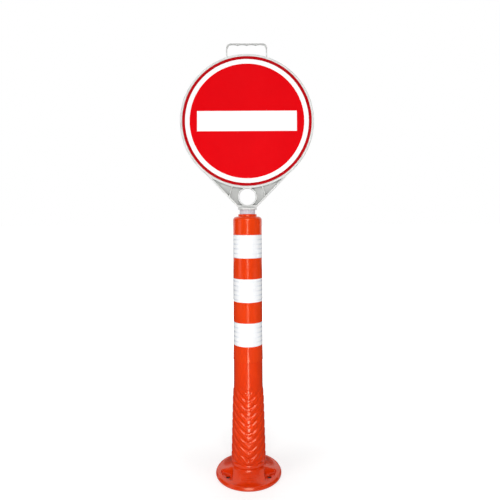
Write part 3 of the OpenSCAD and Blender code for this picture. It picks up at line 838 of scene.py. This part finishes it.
class Paint:
    """A node material under construction, in the object's own coordinates in metres."""

    def __init__(self, name):
        self.material = bpy.data.materials.new(name)
        self.material.use_nodes = True
        self.tree = self.material.node_tree
        self.shader = self.tree.nodes["Principled BSDF"]
        self.place = self.add("ShaderNodeTexCoord").outputs["Object"]

    def add(self, kind, **values):
        node = self.tree.nodes.new(kind)
        for key, value in values.items():
            setattr(node, key, value)
        return node

    def link(self, source, target):
        self.tree.links.new(source, target)

    def set(self, **values):
        for key, value in values.items():
            self.shader.inputs[key.replace("_", " ")].default_value = value

    def axes(self):
        """The object's own x, y and z as outputs named X, Y and Z."""
        node = self.add("ShaderNodeSeparateXYZ")
        self.link(self.place, node.inputs["Vector"])
        return node.outputs

    def stretched(self, scale):
        node = self.add("ShaderNodeMapping")
        node.inputs["Scale"].default_value = scale
        self.link(self.place, node.inputs["Vector"])
        return node.outputs["Vector"]

    def noise(self, scale, detail, rough, stretch=None):
        node = self.add("ShaderNodeTexNoise")
        node.inputs["Scale"].default_value = scale
        node.inputs["Detail"].default_value = detail
        node.inputs["Roughness"].default_value = rough
        self.link(self.stretched(stretch) if stretch else self.place, node.inputs["Vector"])
        return node.outputs["Fac"]

    def cells(self, scale, randomness):
        """The distance to the nearest edge between small cells."""
        node = self.add("ShaderNodeTexVoronoi", feature="DISTANCE_TO_EDGE")
        node.inputs["Scale"].default_value = scale
        node.inputs["Randomness"].default_value = randomness
        self.link(self.place, node.inputs["Vector"])
        return node.outputs["Distance"]

    def ramp(self, value, low, high, start=0.0, stop=1.0):
        """start where the value is low or less, stop where it is high or more."""
        node = self.add("ShaderNodeMapRange", clamp=True)
        for key, number in zip(("From Min", "From Max", "To Min", "To Max"), (low, high, start, stop)):
            node.inputs[key].default_value = number
        self.link(value, node.inputs["Value"])
        return node.outputs["Result"]

    def math(self, operation, a, b):
        node = self.add("ShaderNodeMath", operation=operation)
        for socket, value in zip(node.inputs, (a, b)):
            if isinstance(value, (int, float)):
                socket.default_value = value
            else:
                self.link(value, socket)
        return node.outputs["Value"]

    def mix(self, share, a, b):
        """Colour a where share is 0 and colour b where it is 1."""
        node = self.add("ShaderNodeMix", data_type="RGBA")
        self.link(share, node.inputs["Factor"])
        for socket, value in ((node.inputs[6], a), (node.inputs[7], b)):
            if isinstance(value, tuple):
                socket.default_value = (*value, 1)
            else:
                self.link(value, socket)
        return node.outputs[2]

    def colour_so_far(self):
        return self.shader.inputs["Base Color"].links[0].from_socket

    def colour(self, value):
        self.link(value, self.shader.inputs["Base Color"])

    def roughness(self, value):
        self.link(value, self.shader.inputs["Roughness"])

    def bump(self, height, depth):
        """Relief from a height of 0 to 1 over a depth in metres, on top of relief set before."""
        node = self.add("ShaderNodeBump")
        node.inputs["Strength"].default_value = 1.0
        node.inputs["Distance"].default_value = depth
        self.link(height, node.inputs["Height"])
        before = self.shader.inputs["Normal"].links
        if before:
            self.link(before[0].from_socket, node.inputs["Normal"])
        self.link(node.outputs["Normal"], self.shader.inputs["Normal"])


def moulded_paint(name, base, deep, pale, rough, grain, gloss, tint=(1, 1, 1)):
    """Moulded plastic or rubber: clouds, flow streaks, fine grain and a few light scuffs."""
    paint = Paint(name)
    clouds = paint.ramp(paint.noise(9, detail=5, rough=0.6), 0.3, 0.7)
    streaks = paint.ramp(paint.noise(40, detail=3, rough=0.6, stretch=(1, 1, 0.12)), 0.35, 0.75)
    colour = paint.mix(paint.math("MULTIPLY", clouds, 0.7), base, deep)
    colour = paint.mix(paint.math("MULTIPLY", streaks, 0.22), colour, deep)
    specks = paint.ramp(paint.noise(700, detail=2, rough=0.6), 0.64, 0.74)
    colour = paint.mix(paint.math("MULTIPLY", specks, 0.18), colour, pale)
    scuffs = paint.ramp(paint.noise(90, detail=6, rough=0.75, stretch=(1, 1, 0.35)), 0.66, 0.74)
    patches = paint.ramp(paint.noise(14, detail=3, rough=0.5), 0.5, 0.68)
    scuffs = paint.math("MULTIPLY", scuffs, patches)
    colour = paint.mix(paint.math("MULTIPLY", scuffs, 0.3), colour, pale)
    paint.colour(colour)
    satin = paint.ramp(paint.noise(60, detail=4, rough=0.6), 0.3, 0.7, *rough)
    paint.roughness(paint.math("ADD", satin, paint.math("MULTIPLY", scuffs, 0.25)))
    paint.bump(paint.noise(grain, detail=3, rough=0.6), GRAIN_DEPTH)
    paint.bump(paint.noise(28, detail=2, rough=0.5), WAVE_DEPTH)
    paint.set(Specular_IOR_Level=gloss, Specular_Tint=(*tint, 1))
    return paint


def orange_material(name, colours, rough, grain):
    """Glossy orange, whose reflections are tinted warm so that the colour stays deep."""
    base, deep, pale = colours
    return moulded_paint(name, base, deep, pale, rough, grain, ORANGE_GLOSS, WARM_TINT).material


def grey_material():
    base, deep, pale = (0.68, 0.66, 0.72), (0.60, 0.58, 0.64), (0.8, 0.8, 0.82)
    return moulded_paint("grey_moulding", base, deep, pale, (0.4, 0.55), 380, 0.2).material


def pale_material():
    """Off-white moulding, with painted shade in corners, in the neck's sunk web and on the handle."""
    base, deep, pale = (0.74, 0.75, 0.735), (0.66, 0.67, 0.655), (0.84, 0.84, 0.84)
    painted_handle_shade_grey, painted_shade_grey = (0.46, 0.46, 0.45), (0.27, 0.27, 0.26)
    paint = moulded_paint("pale_moulding", base, deep, pale, (0.3, 0.45), 380, 0.3)
    axes = paint.axes()
    neck_top_z = SIGN_Z - SIGN_RIM_R
    handle_z = SIGN_Z + SIGN_RIM_R
    depth = paint.math("ABSOLUTE", axes["Y"], 0.0)
    sunk = paint.ramp(depth, 0.2 * NECK_DEPTH, 0.4 * NECK_DEPTH, 1.0, 0.0)
    neck = paint.ramp(axes["Z"], neck_top_z, neck_top_z + 30 * MM, 1.0, 0.0)
    # painted shade: corners that are closed in are greyed, mostly in the neck
    occlusion = paint.add("ShaderNodeAmbientOcclusion", samples=8)
    occlusion.inputs["Distance"].default_value = 16 * MM
    occluded_shade_share = paint.ramp(occlusion.outputs["AO"], 0.35, 0.95, 0.75, 0.0)
    corners = paint.math("MULTIPLY", occluded_shade_share, paint.ramp(neck, 0.0, 1.0, 0.25, 1.0))
    # painted shade in the neck's sunk web, between its raised edges
    web = paint.math("MULTIPLY", paint.math("MULTIPLY", sunk, neck), 0.5)
    # painted shade on the handle, which is the same off-white plastic
    handle = paint.ramp(axes["Z"], handle_z, handle_z + 6 * MM, 0.0, 0.6)
    colour = paint.mix(handle, paint.colour_so_far(), painted_handle_shade_grey)
    paint.colour(paint.mix(paint.math("MAXIMUM", corners, web), colour, painted_shade_grey))
    return paint.material


def band_material():
    """White prismatic sheeting: rows of small cells, with painted shade in the grooves, stronger at the
    sides.
    """
    white, cell_edge, cloud = (0.94, 0.945, 0.95), (0.86, 0.88, 0.91), (0.84, 0.86, 0.89)
    painted_groove_shade_grey, smudge_grey = (0.50, 0.56, 0.66), (0.66, 0.66, 0.66)
    paint = Paint("prismatic_white")
    axes = paint.axes()
    # painted shade: the grooves are greyed, faintly at the front and more towards the sides
    sides = paint.ramp(paint.math("ABSOLUTE", axes["X"], 0.0), 0.55 * TUBE_R, 0.93 * TUBE_R)
    low, high = band_limits()[0]
    height = paint.math("SUBTRACT", axes["Z"], low)
    along_rib = paint.math("FRACT", paint.math("MULTIPLY", height, BAND_RIBS / (high - low)), 0.0)
    from_middle = paint.math("ABSOLUTE", paint.math("SUBTRACT", along_rib, 0.5), 0.0)
    groove = paint.ramp(from_middle, 0.26, 0.48)
    cells = paint.ramp(paint.cells(420, randomness=0.25), 0.0, 0.12)
    clouds = paint.ramp(paint.noise(22, detail=4, rough=0.6), 0.35, 0.7)
    colour = paint.mix(cells, cell_edge, white)
    colour = paint.mix(paint.math("MULTIPLY", clouds, 0.2), colour, cloud)
    shading = paint.math("ADD", paint.math("MULTIPLY", sides, 0.62), 0.06)
    colour = paint.mix(paint.math("MULTIPLY", groove, shading), colour, painted_groove_shade_grey)
    smudges = paint.ramp(paint.noise(55, detail=5, rough=0.7, stretch=(1, 1, 0.4)), 0.64, 0.76)
    colour = paint.mix(paint.math("MULTIPLY", smudges, 0.2), colour, smudge_grey)
    paint.colour(colour)
    paint.roughness(paint.ramp(paint.noise(150, detail=3, rough=0.6), 0.3, 0.7, 0.22, 0.4))
    paint.bump(cells, CELL_DEPTH)
    paint.set(Specular_IOR_Level=0.2)
    return paint.material


def honeycomb(paint):
    """The fine lines that seal the sheet's beads, 0 on a line and 1 inside a cell."""
    return paint.ramp(paint.cells(260, randomness=0.0), 0.0, 0.06)


def sheet_material():
    """White reflective sheet: glass beads sealed in a honeycomb of fine lines."""
    white, line_white = (0.93, 0.93, 0.93), (0.86, 0.87, 0.88)
    paint = Paint("beaded_white")
    comb = honeycomb(paint)
    beads = paint.ramp(paint.noise(1400, detail=1, rough=0.5), 0.35, 0.7)
    colour = paint.mix(comb, line_white, white)
    colour = paint.mix(paint.math("MULTIPLY", beads, 0.2), colour, line_white)
    paint.colour(colour)
    paint.roughness(paint.ramp(paint.noise(35, detail=4, rough=0.6), 0.3, 0.7, 0.2, 0.34))
    paint.bump(comb, COMB_DEPTH)
    paint.set(Specular_IOR_Level=0.1)
    return paint.material


def film_material(name, base, deep):
    """Red overlay film, with the sheet's honeycomb showing faintly through it."""
    line_red = tuple(0.86 * v for v in base)
    paint = Paint(name)
    comb = honeycomb(paint)
    clouds = paint.ramp(paint.noise(7, detail=4, rough=0.6), 0.3, 0.7)
    colour = paint.mix(paint.math("MULTIPLY", clouds, 0.6), base, deep)
    lines = paint.math("MULTIPLY", paint.math("SUBTRACT", 1.0, comb), 0.6)
    paint.colour(paint.mix(lines, colour, line_red))
    scratches = paint.ramp(paint.noise(120, detail=6, rough=0.8, stretch=(0.15, 1, 1)), 0.66, 0.72)
    gloss = paint.ramp(paint.noise(30, detail=4, rough=0.6), 0.3, 0.7, 0.2, 0.32)
    paint.roughness(paint.math("ADD", gloss, paint.math("MULTIPLY", scratches, 0.2)))
    paint.bump(comb, COMB_DEPTH)
    paint.set(Specular_IOR_Level=0.01)
    return paint.material


# studio


def area_lamp(name, place, aim, width, height, watts, mirrored=True):
    """A rectangular lamp that no picture shows directly, and that reflections may leave out."""
    data = bpy.data.lights.new(name, "AREA")
    data.shape = "RECTANGLE"
    data.size, data.size_y, data.energy = width, height, watts
    lamp = bpy.data.objects.new(name, data)
    lamp.location = place
    lamp.rotation_euler = (Vector(aim) - Vector(place)).to_track_quat("-Z", "Y").to_euler()
    lamp.visible_camera = False
    lamp.visible_glossy = mirrored
    bpy.context.scene.collection.objects.link(lamp)


def seen_directly(tree):
    """1 for rays from the camera, a mirror or glass, and 0 for rays that only light things."""
    path = tree.nodes.new("ShaderNodeLightPath")
    total = path.outputs["Is Camera Ray"]
    for name in ("Is Glossy Ray", "Is Transmission Ray"):
        more = tree.nodes.new("ShaderNodeMath")
        more.operation = "MAXIMUM"
        tree.links.new(total, more.inputs[0])
        tree.links.new(path.outputs[name], more.inputs[1])
        total = more.outputs["Value"]
    return total


def make_world(strength):
    """A white surround that lights the object weakly."""
    world = bpy.data.worlds.new("studio_air")
    world.use_nodes = True
    tree = world.node_tree
    air = tree.nodes["Background"]
    air.inputs["Color"].default_value = (1, 1, 1, 1)
    level = tree.nodes.new("ShaderNodeMapRange")
    level.inputs["To Min"].default_value = strength
    level.inputs["To Max"].default_value = 1.0
    tree.links.new(seen_directly(tree), level.inputs["Value"])
    tree.links.new(level.outputs["Result"], air.inputs["Strength"])
    bpy.context.scene.world = world


def make_floor():
    """A pale floor, white to the camera, with a painted shadow under the foot, where its holes show it.
    """
    reach = 30
    painted_shadow_under_foot, pale = 0.05, 0.6
    near, far = (0.12, -0.045), (1.2, 0.5)
    corners = [(-reach, -reach, 0), (reach, -reach, 0), (reach, reach, 0), (-reach, reach, 0)]
    floor = add_mesh("floor", corners, [(0, 1, 2, 3)])
    floor.location.z = -0.05 * MM
    paint = Paint("pale_floor")
    from_axis = paint.add("ShaderNodeVectorMath", operation="LENGTH")
    paint.link(paint.place, from_axis.inputs[0])
    distance = from_axis.outputs["Value"]
    # painted shadow: the floor under the foot is nearly black, and glows little
    grey = paint.ramp(distance, FLANGE_R - 3 * MM, FLANGE_R, painted_shadow_under_foot, pale)
    # the glow grows with the distance, so that the shadow at the foot stays in sight
    extra = paint.ramp(distance, near[0], far[0], near[1], far[1])
    glow = paint.math("MULTIPLY", seen_directly(paint.tree), paint.math("ADD", grey, extra))
    paint.colour(grey)
    paint.link(glow, paint.shader.inputs["Emission Strength"])
    paint.set(Roughness=0.9, Specular_IOR_Level=0.0, Emission_Color=(1, 1, 1, 1))
    floor.data.materials.append(paint.material)


def make_camera():
    """The photograph's view, from places in it that were matched with the object's outline."""
    image_px = 500
    focal_px = 445.2
    horizon_px = 215.25
    roll = 0.0051
    place = (7.48 * MM, -1296 * MM, 746.7 * MM)
    data = bpy.data.cameras.new("photo_camera")
    data.sensor_width = 36
    data.lens = data.sensor_width * focal_px / image_px
    data.shift_y = (horizon_px - image_px / 2) / image_px
    data.clip_start, data.clip_end = 0.05, 100
    camera = bpy.data.objects.new("photo_camera", data)
    level_view = Matrix.Rotation(math.pi / 2, 4, "X") @ Matrix.Rotation(-roll, 4, "Z")
    camera.matrix_world = Matrix.Translation(place) @ level_view
    bpy.context.scene.collection.objects.link(camera)
    bpy.context.scene.camera = camera


def flag(name, points, faces, grey=0.15):
    """A grey card that only reflections see, so that glossy orange stays deep."""
    card = add_mesh(name, points, faces)
    card.visible_camera = card.visible_diffuse = card.visible_shadow = False
    paint = Paint(name)
    paint.set(Base_Color=(grey, grey, grey, 1), Specular_IOR_Level=0.0)
    card.data.materials.append(paint.material)


def wall_flag(name, start, stop, height):
    """An upright card on the floor from point start to point stop."""
    (ax, ay), (bx, by) = start, stop
    flag(name, [(ax, ay, 0), (bx, by, 0), (bx, by, height), (ax, ay, height)], [(0, 1, 2, 3)])


def floor_flag(inner_r, outer_r):
    """A card on the floor, a ring round the foot."""
    sides = 64
    points = [(x, y, 1 * MM) for r in (inner_r, outer_r) for x, y in ring_points(r, sides)]
    faces = [(i, sides + i, sides + (i + 1) % sides, (i + 1) % sides) for i in range(sides)]
    flag("floor_flag", points, faces)


def make_flags():
    """Cards round the room, low behind the post and high elsewhere, and a lighter one above."""
    side, front, back, top = 3.2, -2.7, 1.6, 3.1
    ceiling_back, ceiling_grey = 0.3, 0.45
    wall_flag("back_flag", (-side, back), (side, back), 0.4)
    wall_flag("left_flag", (-side, front), (-side, back), 3.0)
    wall_flag("right_flag", (side, front), (side, back), 3.0)
    wall_flag("front_flag", (-side, front), (side, front), 3.0)
    floor_flag(0.12, 3.1)
    front_edge = [(-side, front, top), (side, front, top)]
    back_edge = [(side, ceiling_back, top), (-side, ceiling_back, top)]
    flag("ceiling_flag", front_edge + back_edge, [(0, 1, 2, 3)], ceiling_grey)


def make_lamps():
    left, right = (-2.6, -1.3, 1.1), (2.8, -1.2, 1.1)
    low, middle, high = (0, 0, 0.3), (0, 0, 0.6), (0, 0, 0.8)
    # soft light from all round, most of it kept out of reflections
    area_lamp("left_soft", left, low, 1.3, 2.2, 9)
    area_lamp("left_fill", left, low, 1.3, 2.2, 24, mirrored=False)
    area_lamp("right_fill", right, low, 1.2, 2.2, 20, mirrored=False)
    area_lamp("top_fill", (0, -0.6, 3.0), middle, 2.0, 1.6, 9, mirrored=False)
    area_lamp("back_fill", (0, 2.7, 0.8), high, 2.6, 1.5, 32, mirrored=False)
    # two strips make the long highlight down the tube
    area_lamp("front_strip", (0.02, -2.4, 0.55), (0.02, 0, 0.55), 0.11, 1.1, 5.5)
    area_lamp("floor_strip", (0.02, -1.35, 0.01), (0.02, -1.35, 1.0), 0.10, 2.1, 6)
    # two boxes make the short highlights on the ribs, the hub and the flange's edge
    area_lamp("front_box", (0.02, -1.9, 1.2), (0, -0.7, 0), 0.9, 0.55, 10)
    area_lamp("high_box", (0.02, -1.54, 1.65), (0, -0.9, 0), 0.8, 0.5, 8)


# the object


def dress_piece(piece, body, node, material):
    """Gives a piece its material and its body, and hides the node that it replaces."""
    piece.data.materials.clear()
    piece.data.materials.append(material)
    if body:
        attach(piece, body)
    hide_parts(node)


def dress_column():
    rubber = orange_material("satin_orange", RUBBER_COLOURS, RUBBER_ROUGH, RUBBER_GRAIN)
    lower, upper = make_column()
    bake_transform(lower)
    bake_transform(upper)
    for half in (lower, upper):
        dress_piece(half, None, "flexible_column", rubber)


def dress_post():
    plastic = orange_material("glossy_orange", PLASTIC_COLOURS, PLASTIC_ROUGH, PLASTIC_GRAIN)
    sheeting = band_material()
    dress_piece(make_tube(), "post", "post_tube", plastic)
    dress_piece(make_cap(), "post", "top_cap", plastic)
    for name, (low, high) in zip(BAND_NAMES, band_limits()):
        dress_piece(make_band(name, low, high), "post", name, sheeting)


def dress_sign():
    border_film = film_material("border_film", (0.47, 0.004, 0.008), (0.42, 0.003, 0.006))
    field_film = film_material("field_film", (0.76, 0.0015, 0.005), (0.69, 0.001, 0.004))
    dress_piece(make_sign_frame(), "sign", "sign_frame", pale_material())
    sheet, border, field = make_face()
    dress_piece(sheet, "sign", "white_reflective_sheet", sheet_material())
    dress_piece(border, "sign", "red_border_film", border_film)
    dress_piece(field, "sign", "red_field_film", field_film)


def dress_bush():
    """The bush stays the frame's own solid, with a material of its own."""
    bush = nodes["socket_bush"]
    bush.data.materials.clear()
    bush.data.materials.append(grey_material())


make_camera()
make_world(strength=0.16)
make_floor()
make_flags()
make_lamps()

foot_rubber = orange_material("satin_foot", RUBBER_COLOURS, RUBBER_ROUGH, RUBBER_GRAIN)
dress_piece(make_foot(), "foot", "base_flange", foot_rubber)
dress_column()
dress_post()
dress_sign()
dress_bush()

bpy.context.scene.view_settings.view_transform = "Standard"
